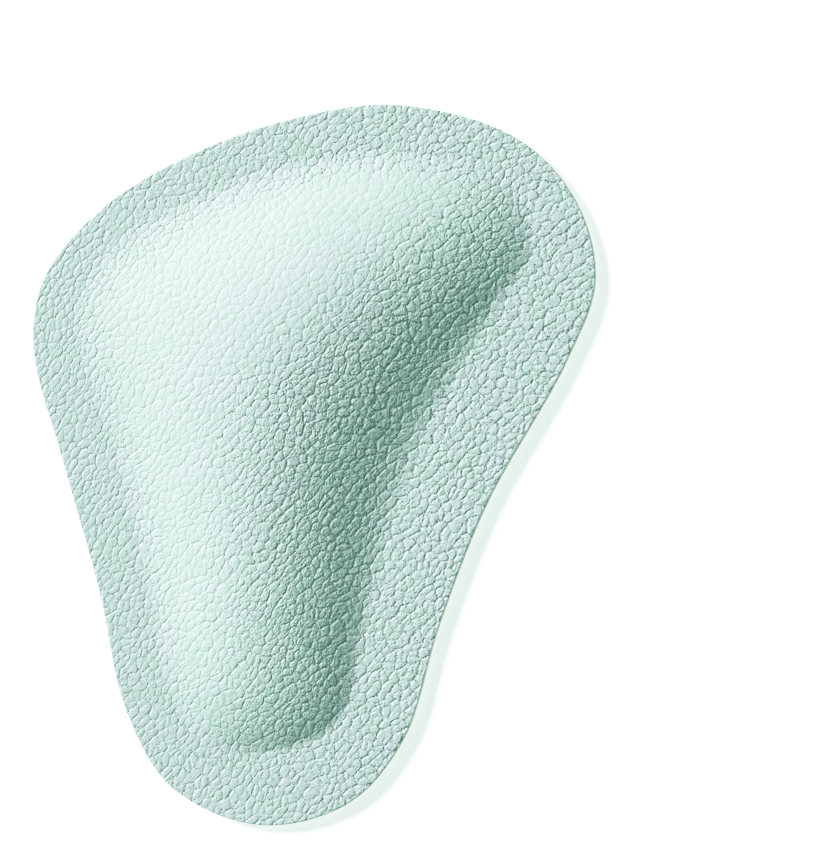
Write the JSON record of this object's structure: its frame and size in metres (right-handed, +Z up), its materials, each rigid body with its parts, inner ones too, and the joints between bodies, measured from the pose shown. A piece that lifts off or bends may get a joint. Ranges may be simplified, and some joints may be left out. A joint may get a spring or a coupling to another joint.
{
  "type": "forefoot pad",
  "caption": "Leather forefoot cushion pad, a rounded triangle tapering to the heel end, with a raised foam-filled dome and a thin flat flange that lies in a shoe.",
  "frame": {"origin": "centre of the bounding box in plan, on the flat underside", "axes": "+Y towards the toe end, along the pad's length; +Z up, out of the domed leather side; +X towards the longer, lower lobe"},
  "size_m": [0.066, 0.084, 0.0049],
  "materials": {
    "leather": "pale grey-green grained leather with a soft sheen, creased in fine cells",
    "latex_foam": "matt cream latex foam with fine open pores"
  },
  "bodies": {
    "root": {"leather_cover": "leather", "foam_core": "latex_foam"}
  },
  "joints": []
}
